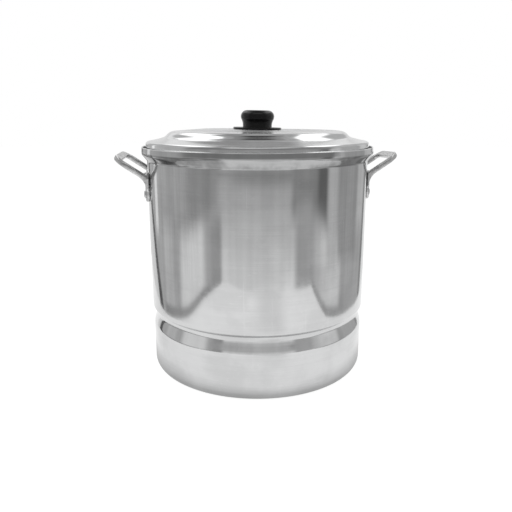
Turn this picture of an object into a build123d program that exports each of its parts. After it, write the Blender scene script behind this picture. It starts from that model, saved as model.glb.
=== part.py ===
from build123d import *
from math import asin, atan2, cos, degrees, radians, sin, sqrt, tan
import os

# Aluminium steamer pot with a loose lid and a loose perforated rack.
# Lengths are in millimetres and angles in degrees. The origin is the centre of the base,
# +Z is up, the two handles point along +X and -X, and -Y is the front.

os.makedirs("parts", exist_ok=True)

# Pot body, a spun shell
body_radius = 150.0
body_wall = 1.8
base_corner_radius = 12.0
groove_height = 83.0
groove_depth = 6.0
groove_lower_height = 21.0
groove_upper_height = 10.0
wall_height = 291.3
flare_height = 11.5
flare_width = 6.8
collar_corner_radius = 2.5
collar_height = 4.0
bead_radius = 1.5
bead_proud = 0.6

# Clearances
seat_gap = 0.3
fit_gap = 0.15
cut_overrun = 5.0

# Steamer rack, a pressed disc that rests on the ledge inside the groove
rack_gap = 2.2
rack_wall = 1.2
rack_corner_radius = 3.0
rack_rim_height = 7.0
rack_hole_radius = 4.5
rack_ring_spacing = 24.0
rack_edge_margin = 18.0
rack_holes_in_first_ring = 6
rack_finger_radius = 12.0

# Lid, a spun shell whose skirt stands in the flared mouth
lid_wall = 1.5
lid_skirt_offset = 1.0
lid_height = 30.8
lid_seat_radius = 40.0
lid_border_width = 38.0
lid_crown_curve_radius = 1155.0
lid_shoulder_radius = 13.8
lid_step_length = 1.4
lid_step_slope = 46.0
lid_flange_slope = 12.5
lid_corner_radius = 6.5
lid_edge_radius = 0.5

# Knob, its guard plate and its fastening
guard_radius = 32.0
guard_thickness = 2.4
guard_edge_radius = 0.9
guard_foot_radius = 14.0
guard_foot_height = 1.2
knob_radius = 23.2
knob_neck_radius = 20.25
knob_height = 22.8
knob_edge_radius = 8.3
knob_turn = 28.0
insert_radius = 5.0
insert_height = 11.0
insert_groove_height = 2.5
insert_groove_depth = 0.8
insert_clear_depth = 2.0
screw_radius = 2.5
screw_engagement = 9.0
screw_head_radius = 4.75
screw_head_height = 3.0
screw_slot_width = 1.2
screw_slot_depth = 1.3
washer_radius = 8.0
washer_thickness = 1.2
screw_hole_clearance = 0.3

# Handles, the same casting twice, with two feet and a slight twist as cast
handle_depth = 71.4
handle_slope = 33.6
handle_twist = 2.2
grip_reach = 39.3
grip_width = 10.0
grip_half_width = 42.8
grip_corner_radius = 20.0
strap_height = 7.0
strap_axis_height = 34.3
arm_width = 8.5
arm_spread = 2.8
arm_bend_radius = 22.0
window_corner_radius = 6.0
strap_edge_radius = 2.2
foot_width = 22.0
foot_height = 38.6
foot_thickness = 3.7
foot_corner_radius = 4.0
foot_edge_radius = 1.4

# Rivets, two to a foot
rivet_radius = 2.5
rivet_arm_gap = 1.8
rivet_low_height = 9.4
rivet_spacing = 23.7
rivet_head_radius = 5.2
rivet_head_height = 2.2
rivet_head_edge = 0.6
rivet_tail_radius = 4.5
rivet_tail_height = 1.4
rivet_tail_edge_radius = 0.6


def radial_plane(radius, azimuth, height):
    """A plane square to a radius of the pot, its x running round the pot and its y up."""
    out = Vector(cos(radians(azimuth)), sin(radians(azimuth)), 0)
    around = Vector(-sin(radians(azimuth)), cos(radians(azimuth)), 0)
    return Plane(origin=out * radius + Vector(0, 0, height), x_dir=around, z_dir=out)


def s_bend(rise, shift):
    """The turn in degrees and the sum of the two radii of a bend that shifts a wall sideways."""
    turn = 2 * atan2(shift, rise)
    return degrees(turn), rise / sin(turn)


# Heights and radii that follow from the sizes above
fall_turn, fall_radii = s_bend(groove_lower_height, groove_depth)
rise_turn, rise_radii = s_bend(groove_upper_height, groove_depth)
flare_turn, flare_radii = s_bend(flare_height, flare_width)
fall_radius = fall_radii / 2
rise_radius = rise_radii / 2
flare_radius = flare_radii - collar_corner_radius
collar_radius = body_radius + flare_width
bead_height = wall_height + flare_height + collar_height
rim_height = bead_height + bead_radius

# The rack's round corner touches the ledge, whose inner face is an arc
rack_radius = body_radius - body_wall - rack_gap
rack_rings = int((rack_radius - rack_edge_margin) / rack_ring_spacing)
ledge_reach = rise_radius + body_wall + rack_corner_radius + seat_gap
ledge_offset = body_radius - groove_depth + rise_radius - (rack_radius - rack_corner_radius)
rack_height = groove_height + sqrt(ledge_reach**2 - ledge_offset**2) - rack_corner_radius

# The lid's skirt stands on the inner face of the flare, which is an arc too
lid_skirt_radius = body_radius + lid_skirt_offset
lid_crown_radius = lid_skirt_radius - lid_border_width
flare_reach = flare_radius + body_wall + seat_gap
flare_offset = body_radius + flare_radius - lid_skirt_radius
lid_base = wall_height + sqrt(flare_reach**2 - flare_offset**2)
lid_top = lid_base + lid_height
guard_base = lid_top + guard_foot_height
knob_base = guard_base + guard_thickness
washer_top = lid_top - lid_wall
head_top = washer_top - washer_thickness
screw_hole_radius = screw_radius + screw_hole_clearance

# Foot faces: the back lies on the wall, the front carries the rivet heads
foot_back = body_radius + seat_gap
foot_front = foot_back + foot_thickness
arm_root_half_width = grip_half_width - arm_spread
foot_angle = degrees(asin((arm_root_half_width - foot_width / 2) / foot_front))
handle_base = rim_height - handle_depth
handle_reach = body_radius + grip_reach
handle_turns = {"right": 0, "left": 180}

# The rivets stand beside the arms' inner faces
rivet_half_spread = arm_root_half_width - arm_width - rivet_arm_gap - rivet_head_radius
rivet_angle = degrees(asin(rivet_half_spread / foot_front))
rivet_feet = {"front": -rivet_angle, "rear": rivet_angle}
rivet_heights = (rivet_low_height, rivet_low_height + rivet_spacing)


def rivet_spots(azimuth, base):
    """The places of one foot's rivets, on the front face of the foot."""
    return [radial_plane(foot_front, azimuth, base + height).location for height in rivet_heights]


all_rivet_spots = []
for turn in handle_turns.values():
    for foot_side in (-1, 1):
        all_rivet_spots += rivet_spots(turn + foot_side * rivet_angle, handle_base)

# Pot body
with BuildPart() as pot_body:
    with BuildSketch(Plane.XZ):
        with BuildLine():
            base_line = Line((0, 0), (body_radius - base_corner_radius, 0))
            corner = JernArc(base_line @ 1, base_line % 1, base_corner_radius, 90)
            lower_wall = Line(corner @ 1, (body_radius, groove_height - groove_lower_height))
            fall_in = JernArc(lower_wall @ 1, lower_wall % 1, fall_radius, fall_turn)
            fall_out = JernArc(fall_in @ 1, fall_in % 1, fall_radius, -fall_turn)
            ledge_in = JernArc(fall_out @ 1, fall_out % 1, rise_radius, -rise_turn)
            ledge_out = JernArc(ledge_in @ 1, ledge_in % 1, rise_radius, rise_turn)
            upper_wall = Line(ledge_out @ 1, (body_radius, wall_height))
            flare = JernArc(upper_wall @ 1, upper_wall % 1, flare_radius, -flare_turn)
            seat = JernArc(flare @ 1, flare % 1, collar_corner_radius, flare_turn)
            Line(seat @ 1, (collar_radius, bead_height))
            offset(amount=body_wall, side=Side.LEFT)
        make_face()
        with Locations((collar_radius - bead_radius + bead_proud, bead_height)):
            Circle(bead_radius)
    revolve(axis=Axis.Z)
    with Locations(*all_rivet_spots):
        Cylinder(rivet_radius + fit_gap, 2 * (foot_thickness + cut_overrun), mode=Mode.SUBTRACT)
pot_body.part.label = "pot_body"
export_step(pot_body.part, "parts/pot_body.step")

# Steamer rack
with BuildPart() as steamer_rack:
    with BuildSketch(Plane.XZ):
        with BuildLine():
            plate = Line((0, rack_height), (rack_radius - rack_corner_radius, rack_height))
            bend = JernArc(plate @ 1, plate % 1, rack_corner_radius, 90)
            Line(bend @ 1, (rack_radius, rack_height + rack_rim_height))
            offset(amount=rack_wall, side=Side.LEFT)
        make_face()
    revolve(axis=Axis.Z)
    with BuildSketch(Plane.XY.offset(rack_height - cut_overrun)):
        Circle(rack_finger_radius)
        for ring in range(1, rack_rings + 1):
            with PolarLocations(ring * rack_ring_spacing, ring * rack_holes_in_first_ring):
                Circle(rack_hole_radius)
    extrude(amount=rack_wall + 2 * cut_overrun, mode=Mode.SUBTRACT)
steamer_rack.part.label = "steamer_rack"
export_step(steamer_rack.part, "parts/steamer_rack.step")

# Lid
crown_turn = degrees(asin((lid_crown_radius - lid_seat_radius) / lid_crown_curve_radius))
shoulder_turn = lid_step_slope - crown_turn
foot_turn = lid_step_slope - lid_flange_slope
flange_end = lid_skirt_radius - lid_corner_radius * (1 - sin(radians(lid_flange_slope)))
with BuildPart() as lid:
    with BuildSketch(Plane.XZ):
        with BuildLine():
            seat_line = Line((screw_hole_radius, lid_top), (lid_seat_radius, lid_top))
            crown = JernArc(seat_line @ 1, seat_line % 1, lid_crown_curve_radius, -crown_turn)
            shoulder = JernArc(crown @ 1, crown % 1, lid_shoulder_radius, -shoulder_turn)
            step = PolarLine(shoulder @ 1, lid_step_length, -lid_step_slope)
            step_foot = JernArc(step @ 1, step % 1, lid_shoulder_radius, foot_turn)
            flange_run = (flange_end - (step_foot @ 1).X) / cos(radians(lid_flange_slope))
            flange = PolarLine(step_foot @ 1, flange_run, -lid_flange_slope)
            skirt_bend = JernArc(flange @ 1, flange % 1, lid_corner_radius, lid_flange_slope - 90)
            Line(skirt_bend @ 1, (lid_skirt_radius, lid_base))
            offset(amount=lid_wall, side=Side.RIGHT)
        make_face()
    revolve(axis=Axis.Z)
    fillet(lid.edges().group_by(Axis.Z)[0], lid_edge_radius)
lid.part.label = "lid"
export_step(lid.part, "parts/lid.step")

# Guard plate under the knob
with BuildPart() as knob_guard:
    with BuildSketch(Plane.XY.offset(guard_base)):
        Circle(guard_radius)
    extrude(amount=guard_thickness)
    fillet(knob_guard.edges().filter_by(GeomType.CIRCLE), guard_edge_radius)
    with BuildSketch(Plane.XY.offset(lid_top)):
        Circle(guard_foot_radius)
    extrude(amount=guard_foot_height)
    with BuildSketch(Plane.XY.offset(lid_top - cut_overrun)):
        Circle(screw_hole_radius)
    extrude(amount=guard_foot_height + guard_thickness + 2 * cut_overrun, mode=Mode.SUBTRACT)
knob_guard.part.label = "knob_guard"
export_step(knob_guard.part, "parts/knob_guard.step")

# Knob, with the pocket of its moulded-in insert
waist_radius = (knob_radius - knob_neck_radius) / (1 - cos(radians(knob_turn))) - knob_edge_radius
pocket_top = knob_base + insert_height + insert_clear_depth
groove_low = knob_base + (insert_height - insert_groove_height) / 2
groove_high = groove_low + insert_groove_height
knob_top = knob_base + knob_height
pocket_radius = insert_radius + fit_gap
pocket_neck = pocket_radius - insert_groove_depth
pocket_shelf = knob_base + insert_height + fit_gap
with BuildPart() as lid_knob:
    with BuildSketch(Plane.XZ):
        with BuildLine():
            top = Line((0, knob_top), (knob_radius - knob_edge_radius, knob_top))
            edge = JernArc(top @ 1, top % 1, knob_edge_radius, -90 - knob_turn)
            waist = JernArc(edge @ 1, edge % 1, waist_radius, knob_turn)
            Polyline(
                waist @ 1,
                (knob_neck_radius, knob_base),
                (pocket_radius, knob_base),
                (pocket_radius, groove_low + fit_gap),
                (pocket_neck, groove_low + fit_gap),
                (pocket_neck, groove_high - fit_gap),
                (pocket_radius, groove_high - fit_gap),
                (pocket_radius, pocket_shelf),
                (screw_hole_radius, pocket_shelf),
                (screw_hole_radius, pocket_top),
                (0, pocket_top),
                top @ 0,
            )
        make_face()
    revolve(axis=Axis.Z)
lid_knob.part.label = "lid_knob"
export_step(lid_knob.part, "parts/lid_knob.step")

# Threaded insert
with BuildPart() as knob_insert:
    with BuildSketch(Plane.XY.offset(knob_base)):
        Circle(insert_radius)
        Circle(screw_radius + fit_gap, mode=Mode.SUBTRACT)
    extrude(amount=insert_height)
    with BuildSketch(Plane.XY.offset(groove_low)):
        Circle(insert_radius + cut_overrun)
        Circle(insert_radius - insert_groove_depth, mode=Mode.SUBTRACT)
    extrude(amount=insert_groove_height, mode=Mode.SUBTRACT)
knob_insert.part.label = "knob_insert"
export_step(knob_insert.part, "parts/knob_insert.step")

# Washer under the screw's head
with BuildPart() as knob_washer:
    with BuildSketch(Plane.XY.offset(head_top)):
        Circle(washer_radius)
        Circle(screw_hole_radius, mode=Mode.SUBTRACT)
    extrude(amount=washer_thickness)
knob_washer.part.label = "knob_washer"
export_step(knob_washer.part, "parts/knob_washer.step")

# Screw, put in from below
with BuildPart() as knob_screw:
    with BuildSketch(Plane.XY.offset(head_top - screw_head_height)):
        Circle(screw_head_radius)
    extrude(amount=screw_head_height)
    fillet(knob_screw.edges().group_by(Axis.Z)[0], screw_head_height / 2)
    with BuildSketch(Plane.XY.offset(head_top - screw_head_height)):
        Rectangle(2 * screw_head_radius, screw_slot_width)
    extrude(amount=screw_slot_depth, mode=Mode.SUBTRACT)
    with BuildSketch(Plane.XY.offset(head_top)):
        Circle(screw_radius)
    extrude(amount=knob_base + screw_engagement - head_top)
knob_screw.part.label = "knob_screw"
export_step(knob_screw.part, "parts/knob_screw.step")

# Handle strap: a bar bent to a U, cut from its side view and its plan
slope = radians(handle_slope)
strap_axis = Axis(origin=(body_radius, 0, strap_axis_height), direction=(cos(slope), 0, sin(slope)))
strap_plane = Plane(
    origin=(body_radius, 0, strap_axis_height),
    x_dir=(cos(slope), 0, sin(slope)),
    z_dir=(-sin(slope), 0, cos(slope)),
)
strap_run = (handle_reach - body_radius) / cos(slope)
low_edge = strap_axis_height - strap_height / 2 / cos(slope)
high_edge = strap_axis_height + strap_height / 2 / cos(slope)
arm_root_x = sqrt(foot_front**2 - arm_root_half_width**2)
root_low = low_edge - arm_bend_radius
tip_x = handle_reach + strap_height

# The arms spread from the wall to the grip, and run on as far behind the wall to be cut there
strap_back = -strap_run
back_y = arm_root_half_width - arm_spread
window_back = strap_back - cut_overrun
window_back_y = back_y - arm_width
window_tip = strap_run - grip_width
window_tip_y = grip_half_width - arm_width
with BuildPart() as strap_side:
    with BuildSketch(Plane.XZ):
        with BuildLine():
            lower = FilletPolyline(
                (arm_root_x, root_low),
                (arm_root_x, low_edge + (arm_root_x - body_radius) * tan(slope)),
                (tip_x, low_edge + (tip_x - body_radius) * tan(slope)),
                radius=arm_bend_radius,
            )
            Polyline(
                lower @ 1,
                (tip_x, high_edge + (tip_x - body_radius) * tan(slope)),
                (body_radius - foot_width, high_edge - foot_width * tan(slope)),
                (body_radius - foot_width, root_low),
                lower @ 0,
            )
        make_face()
    extrude(amount=grip_half_width + cut_overrun, both=True)
with BuildPart() as strap:
    with BuildSketch(strap_plane):
        with BuildLine():
            outline = FilletPolyline(
                (strap_back, -back_y),
                (strap_run, -grip_half_width),
                (strap_run, grip_half_width),
                (strap_back, back_y),
                radius=grip_corner_radius,
            )
            Line(outline @ 1, outline @ 0)
        make_face()
        with BuildLine():
            window = FilletPolyline(
                (window_back, -window_back_y),
                (window_tip, -window_tip_y),
                (window_tip, window_tip_y),
                (window_back, window_back_y),
                radius=window_corner_radius,
            )
            Line(window @ 1, window @ 0)
        make_face(mode=Mode.SUBTRACT)
    extrude(amount=2 * foot_height, both=True)
    add(strap_side.part, mode=Mode.INTERSECT)
    fillet(strap.edges(), strap_edge_radius)

# Handle: the strap on its two feet, standing at height zero and pointing along +X
with BuildPart() as handle:
    for foot_side in (-1, 1):
        foot_plane = radial_plane(body_radius - cut_overrun, foot_side * foot_angle, 0)
        with BuildSketch(foot_plane) as foot_outline:
            with Locations((0, foot_width / 2)):
                Rectangle(foot_width, foot_height - foot_width / 2, align=(Align.CENTER, Align.MIN))
                Circle(foot_width / 2)
            fillet(foot_outline.vertices().group_by(Axis.Y)[-1], foot_corner_radius)
        extrude(amount=foot_thickness + 2 * cut_overrun)
    with BuildSketch():
        Circle(foot_front)
        Circle(foot_back, mode=Mode.SUBTRACT)
    extrude(amount=foot_height, mode=Mode.INTERSECT)
    front_faces = handle.faces().filter_by(
        lambda face: face.geom_type == GeomType.CYLINDER and abs(face.radius - foot_front) < fit_gap
    )
    fillet(front_faces.edges(), foot_edge_radius)
    add(strap.part.rotate(strap_axis, -handle_twist))
    with BuildSketch(Plane.XY.offset(-cut_overrun)):
        Circle(foot_back)
    extrude(amount=2 * foot_height, mode=Mode.SUBTRACT)
    with Locations(*rivet_spots(-rivet_angle, 0), *rivet_spots(rivet_angle, 0)):
        Cylinder(rivet_radius + fit_gap, 2 * (foot_thickness + cut_overrun), mode=Mode.SUBTRACT)

for side, turn in handle_turns.items():
    with BuildPart() as placed_handle:
        with Locations(Location((0, 0, handle_base), (0, 0, turn))):
            add(handle.part)
    placed_handle.part.label = f"handle_{side}"
    export_step(placed_handle.part, f"parts/handle_{side}.step")

# Rivet, its domed head on the foot's front face and its tail inside the pot
inner_wall = body_radius - body_wall
tail_seat = sqrt(inner_wall**2 - rivet_tail_radius**2) - fit_gap - foot_front
tail_end = tail_seat - rivet_tail_height
with BuildPart() as rivet:
    with BuildSketch(Plane.XZ):
        with BuildLine():
            dome = TangentArc(
                (0, rivet_head_height), (rivet_head_radius, rivet_head_edge), tangent=(1, 0)
            )
            Polyline(
                dome @ 1,
                (rivet_head_radius, fit_gap),
                (rivet_radius, fit_gap),
                (rivet_radius, tail_seat),
                (rivet_tail_radius, tail_seat),
                (rivet_tail_radius, tail_end),
                (0, tail_end),
                dome @ 0,
            )
        make_face()
    revolve(axis=Axis.Z)
    fillet(rivet.edges().group_by(Axis.Z)[0], rivet_tail_edge_radius)

for side, turn in handle_turns.items():
    for foot, angle in rivet_feet.items():
        # Front is the same side of the pot on both handles, so the turned handle swaps its feet
        azimuth = turn + (angle if side == "right" else -angle)
        with BuildPart() as foot_rivets:
            with Locations(*rivet_spots(azimuth, handle_base)):
                add(rivet.part)
        foot_rivets.part.label = f"handle_{side}_{foot}_rivets"
        export_step(foot_rivets.part, f"parts/handle_{side}_{foot}_rivets.step")
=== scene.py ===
# %% [markdown]
# # A steamer pot, dressed around its CAD model
#
# The pot is a tall spun aluminium vessel with a rolled groove, a loose lid with a black
# moulded knob, a loose perforated rack inside and two riveted cast handles. CAD settled
# every size. This file gives the same pieces the surfaces that a person sees: softened
# castings, slightly uneven sheet metal, rolled and turned edges, and their finishes.
#
# Everything is in metres, with the origin at the centre of the base, +Z up, the handles
# along X and the front towards -Y.

# %% Load the CAD model and note its box
from math import asin, ceil, cos, degrees, pi, radians, sin, sqrt, tan

import bmesh
import bpy
import numpy as np
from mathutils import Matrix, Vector


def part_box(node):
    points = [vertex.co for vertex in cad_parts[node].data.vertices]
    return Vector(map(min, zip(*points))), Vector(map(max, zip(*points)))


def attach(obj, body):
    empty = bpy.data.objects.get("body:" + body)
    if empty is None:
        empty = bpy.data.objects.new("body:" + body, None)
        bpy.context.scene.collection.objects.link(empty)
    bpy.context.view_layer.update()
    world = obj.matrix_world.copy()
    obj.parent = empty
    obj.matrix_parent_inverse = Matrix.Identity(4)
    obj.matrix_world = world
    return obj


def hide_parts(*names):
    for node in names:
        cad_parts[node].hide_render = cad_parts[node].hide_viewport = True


MM = 0.001

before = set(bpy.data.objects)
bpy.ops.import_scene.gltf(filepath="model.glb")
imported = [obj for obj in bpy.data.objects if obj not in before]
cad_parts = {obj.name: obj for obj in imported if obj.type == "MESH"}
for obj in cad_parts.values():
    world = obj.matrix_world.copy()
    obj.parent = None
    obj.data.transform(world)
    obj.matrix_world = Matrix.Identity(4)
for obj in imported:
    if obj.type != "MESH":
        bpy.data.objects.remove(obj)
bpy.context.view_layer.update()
print("CAD nodes:", ", ".join(sorted(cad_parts)))

# %% [markdown]
# ## Tools for shapes
#
# Nearly all of this pot was made by turning: sheet was spun on a lathe, the knob was
# pressed in a round mould. So one tool walks along a profile made of straight runs and
# arcs, as a lathe operator's template does, and another carries it round the axis. A mesh
# primitive with modifiers could give similar shapes, but not with the radii of the
# drawing, and not with their unevenness worked into the same formula.


# %% Walk along a profile
def walk(start, heading, moves, spacing=2.0 * MM, arc_step=5.0):
    """Follows runs and arcs. A run (length, 0) adds points along the heading. An arc
    (radius, turn) swings about a centre one radius to the left of the path for a positive
    turn, or to the right for a negative one, and turns the heading by that many degrees.
    Returns the points and the heading at each, in radians."""
    points = [np.array([start], float)]
    headings = [np.array([radians(heading)])]
    at, angle = np.array(start, float), radians(heading)
    for size, turn in moves:
        if turn == 0:
            share = np.linspace(0, 1, ceil(size / spacing) + 1)[1:, None]
            new = at + share * size * np.array([cos(angle), sin(angle)])
            new_headings = np.full(len(new), angle)
        else:
            share = np.linspace(0, 1, ceil(abs(turn) / arc_step) + 1)[1:]
            new_headings = angle + radians(turn) * share
            reach = size * np.sign(turn)
            centre = at + reach * np.array([-sin(angle), cos(angle)])
            outwards = np.stack([np.sin(new_headings), -np.cos(new_headings)], axis=1)
            new = centre + reach * outwards
        points.append(new)
        headings.append(new_headings)
        at, angle = new[-1], new_headings[-1]
    return np.concatenate(points), np.concatenate(headings)


def other_side(points, headings, wall):
    """A sheet's other side: each point moves one wall thickness to the left of the path."""
    return points + wall * np.stack([-np.sin(headings), np.cos(headings)], axis=1)


# %% Turn a grid of points into a mesh
def grid_mesh(name, grid, wrap_rows=False, wrap_columns=False):
    """Joins each point of a grid to the next in its row and its column with four-sided
    faces. A wrapped side joins its last line to its first. Points that meet, as at a pole,
    are merged, and the faces are turned outwards."""
    rows, columns = grid.shape[:2]
    index = np.arange(rows * columns).reshape(rows, columns)
    if wrap_rows:
        index = np.vstack([index, index[:1]])
    if wrap_columns:
        index = np.hstack([index, index[:, :1]])
    corners = [index[:-1, :-1], index[1:, :-1], index[1:, 1:], index[:-1, 1:]]
    quads = np.stack(corners, axis=-1).reshape(-1, 4)
    mesh = bpy.data.meshes.new(name)
    mesh.vertices.add(rows * columns)
    mesh.vertices.foreach_set("co", grid.astype(np.float32).ravel())
    mesh.loops.add(quads.size)
    mesh.loops.foreach_set("vertex_index", quads.astype(np.int32).ravel())
    mesh.polygons.add(len(quads))
    mesh.polygons.foreach_set("loop_start", np.arange(0, quads.size, 4, dtype=np.int32))
    mesh.update(calc_edges=True)
    return close_mesh(mesh)


def close_mesh(mesh):
    """Merges points that lie together, drops what collapses and turns the faces outwards."""
    work = bmesh.new()
    work.from_mesh(mesh)
    bmesh.ops.remove_doubles(work, verts=work.verts, dist=1e-7)
    bmesh.ops.recalc_face_normals(work, faces=work.faces)
    work.to_mesh(mesh)
    work.free()
    return mesh


def joined(meshes, name):
    """Puts several meshes together into one, as separate shells."""
    work = bmesh.new()
    for mesh in meshes:
        work.from_mesh(mesh)
    whole = bpy.data.meshes.new(name)
    work.to_mesh(whole)
    work.free()
    return whole


def revolve(profile, steps, uneven=None):
    """Carries a profile of radius and height round the axis: x is the radius times the
    cosine of the angle, y the radius times its sine. uneven(radius, angle, height) gives
    how far each point leaves the true circle, and how far its true height."""
    angle = np.linspace(0, 2 * pi, steps, endpoint=False)[:, None]
    radius, height = profile[None, :, 0], profile[None, :, 1]
    if uneven is not None:
        outwards, upwards = uneven(radius, angle, height)
        radius, height = radius + outwards, height + upwards
    height = np.broadcast_to(height, (steps, len(profile)))
    return np.stack([radius * np.cos(angle), radius * np.sin(angle), height], axis=-1)


def ramp(distance, length):
    """Rises in a straight line from 0 to 1 over the length, and stays there."""
    return np.clip(distance / length, 0, 1)


def sum_of_waves(waves, angle, along):
    """A sum of sines round the pot. Each is given by its size, how many waves go round,
    where they start, and how far they turn, in radians, for each metre along the sheet."""
    parts = [
        size * np.sin(count * angle + start + slant * along)
        for size, count, start, slant in waves
    ]
    return sum(parts)


# %% Put a mesh into the scene as a piece of the pot
def link_object(name, data):
    """A new object in the scene, with a mesh, lamp or camera as its data."""
    thing = bpy.data.objects.new(name, data)
    bpy.context.scene.collection.objects.link(thing)
    return thing


def add_piece(mesh, body, replaced, crease=40.0):
    """Shades the mesh smooth up to a crease angle in degrees, and ties it to the frame."""
    mesh.shade_smooth()
    mesh.set_sharp_from_angle(angle=radians(crease))
    piece = link_object(mesh.name, mesh)
    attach(piece, body)
    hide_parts(replaced)
    print(f"{mesh.name}: {len(mesh.vertices)} points, {len(mesh.polygons)} faces")


# %% [markdown]
# ## The pot body
#
# The body is one sheet of aluminium, 1.8 mm thick, spun over a form. Going up from the
# centre of the base it has a flat bottom, a round corner, a wall that steps in over a
# rolled groove and out again, a short flare, and an upright collar that leans in slightly
# and ends in a rounded lip. The groove's lower bend has a short cone between its two arcs.
#
# Such a sheet is never quite true. The rollers leave it very slightly wavy, and that is
# what bends the reflections in the metal. The waves are sums of sines round the pot and
# up the wall, a few hundredths of a millimetre high, and fade out at the corner and rim.
# Rolling the groove also drew the wall below it in a little, and left it wider above.

# %% Sizes of the body
body_radius = 150.0 * MM
body_wall = 1.8 * MM
base_corner = 12.0 * MM
groove_height = 83.0 * MM
groove_depth = 5.2 * MM
groove_lower = 22.0 * MM
groove_cone = 18.5
groove_upper = 8.0 * MM
wall_height = 288.4 * MM
flare_width = 7.2 * MM
flare_slope = 38.0
flare_foot = 5.0 * MM
collar_corner = 7.0 * MM
collar_lean = 5.0
lip_radius = 0.95 * MM
lip_top = 308.3 * MM


def s_bend(rise, shift):
    """The turn, in degrees, and the sum of the two radii of a bend that shifts a wall
    sideways: the turn is twice the angle of the straight line through both ends."""
    turn = 2 * np.arctan2(shift, rise)
    return degrees(turn), rise / sin(turn)


def coned_bend(rise, shift, slope):
    """The radius of both arcs, and the straight run between them, of a bend that shifts a
    wall sideways and has a cone of the given slope in its middle. The run times the
    slope's cosine and twice the radius times its sine make up the rise."""
    slant = radians(slope)
    radius = (rise * sin(slant) - shift * cos(slant)) / (2 * (1 - cos(slant)))
    return radius, (rise - 2 * radius * sin(slant)) / cos(slant)


cone_radius, cone_run = coned_bend(groove_lower, groove_depth, groove_cone)
rise_turn, rise_radii = s_bend(groove_upper, groove_depth)
flare_angle = radians(flare_slope)
flare_arcs = (flare_foot + collar_corner) * (1 - cos(flare_angle))
flare_run = (flare_width - flare_arcs) / sin(flare_angle)

# %% Profile of the body, outside first and then back down the inside
outside, outside_headings = walk(
    (0, 0),
    0,
    [
        (body_radius - base_corner, 0),
        (base_corner, 90),
        (groove_height - groove_lower - base_corner, 0),
        (cone_radius, groove_cone),
        (cone_run, 0),
        (cone_radius, -groove_cone),
        (rise_radii / 2, -rise_turn),
        (rise_radii / 2, rise_turn),
        (wall_height - groove_height - groove_upper, 0),
        (flare_foot, -flare_slope),
        (flare_run, 0),
        (collar_corner, flare_slope + collar_lean),
    ],
    spacing=5.0 * MM,
)
collar_run = (lip_top - lip_radius - outside[-1, 1]) / cos(radians(collar_lean))
collar, collar_headings = walk(outside[-1], 90 + collar_lean, [(collar_run, 0)])
outside = np.concatenate([outside, collar[1:]])
outside_headings = np.concatenate([outside_headings, collar_headings[1:]])
inside = other_side(outside, outside_headings, body_wall)
lip_centre = (outside[-1] + inside[-1]) / 2
lip_angles = np.radians(np.linspace(collar_lean, 180 + collar_lean, 16))
mouth_lip = lip_centre + lip_radius * np.stack([np.cos(lip_angles), np.sin(lip_angles)], axis=1)
body_profile = np.concatenate([outside[:-1], mouth_lip, inside[-2::-1]])
mouth_width = 2 * lip_centre[0]
print(f"mouth lip is {mouth_width / MM:.1f} mm across, its collar {collar_run / MM:.1f} mm high")


# %% Slight waves in the spun sheet
body_waves = (
    (0.060 * MM, 5, 1.1, 9),
    (0.045 * MM, 9, 0.4, -14),
    (0.030 * MM, 14, 2.0, 21),
    (0.020 * MM, 3, 0.0, 60),
)
waves_from = 10 * MM
waves_grow = 50 * MM
waves_fade = 60 * MM
wider_above = 0.4 * MM
wider_to = 240 * MM
wider_fade = 90 * MM
narrower_below = 0.5 * MM
girth_blend = 8 * MM


def sheet_waves(radius, angle, height):
    """How far the sheet leaves the true circle, in metres: the waves, which fade to nothing
    at the base corner and the flare, where the form held it, and the wall's wider and
    narrower parts above and below the groove. The base has neither."""
    hold = ramp(height - waves_from, waves_grow) * ramp(wall_height - height, waves_fade)
    at_wall = ramp(radius - 0.8 * body_radius, 0.1 * body_radius)
    above = ramp(height - groove_height, girth_blend) * ramp(wider_to - height, wider_fade)
    below = ramp(groove_height - height, girth_blend)
    girth = wider_above * above - narrower_below * below
    return (sum_of_waves(body_waves, angle, height) * hold + girth) * at_wall, 0


add_piece(
    grid_mesh("spun_body", revolve(body_profile, 288, sheet_waves), wrap_rows=True),
    "pot",
    "pot_body",
)

# %% [markdown]
# ## The lid
#
# The lid is a second spun dish, 1.5 mm thick. Its middle is nearly flat, where the knob
# sits. A rounded shoulder steps down to a sloping flange, and the skirt round the flange
# stands inside the pot's flared mouth. The flange of the real one is slightly hollow, so
# the profile has a long shallow arc there instead of a straight line.
#
# Years of lifting have also pressed its middle down by 0.6 mm and leaned it about one
# degree to the right, knob and all. That is a slope added to the heights, which fades out
# towards the shoulder.

# %% Sizes of the lid
lid_wall = 1.5 * MM
lid_skirt_radius = body_radius + 1.0 * MM
lid_crown_radius = lid_skirt_radius - 38.0 * MM
lid_seat_radius = 40.0 * MM
lid_crown_curve = 1155.0 * MM
lid_shoulder = 13.8 * MM
lid_step_length = 1.4 * MM
lid_step_slope = 46.0
lid_flange_slope = 12.5
lid_flange_hollow = 3.0
lid_corner = 4.0 * MM
lid_edge = 0.5 * MM
lid_low, lid_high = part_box("lid")
lid_base, lid_top = lid_low.z, lid_high.z
screw_hole = 2.8 * MM

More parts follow.
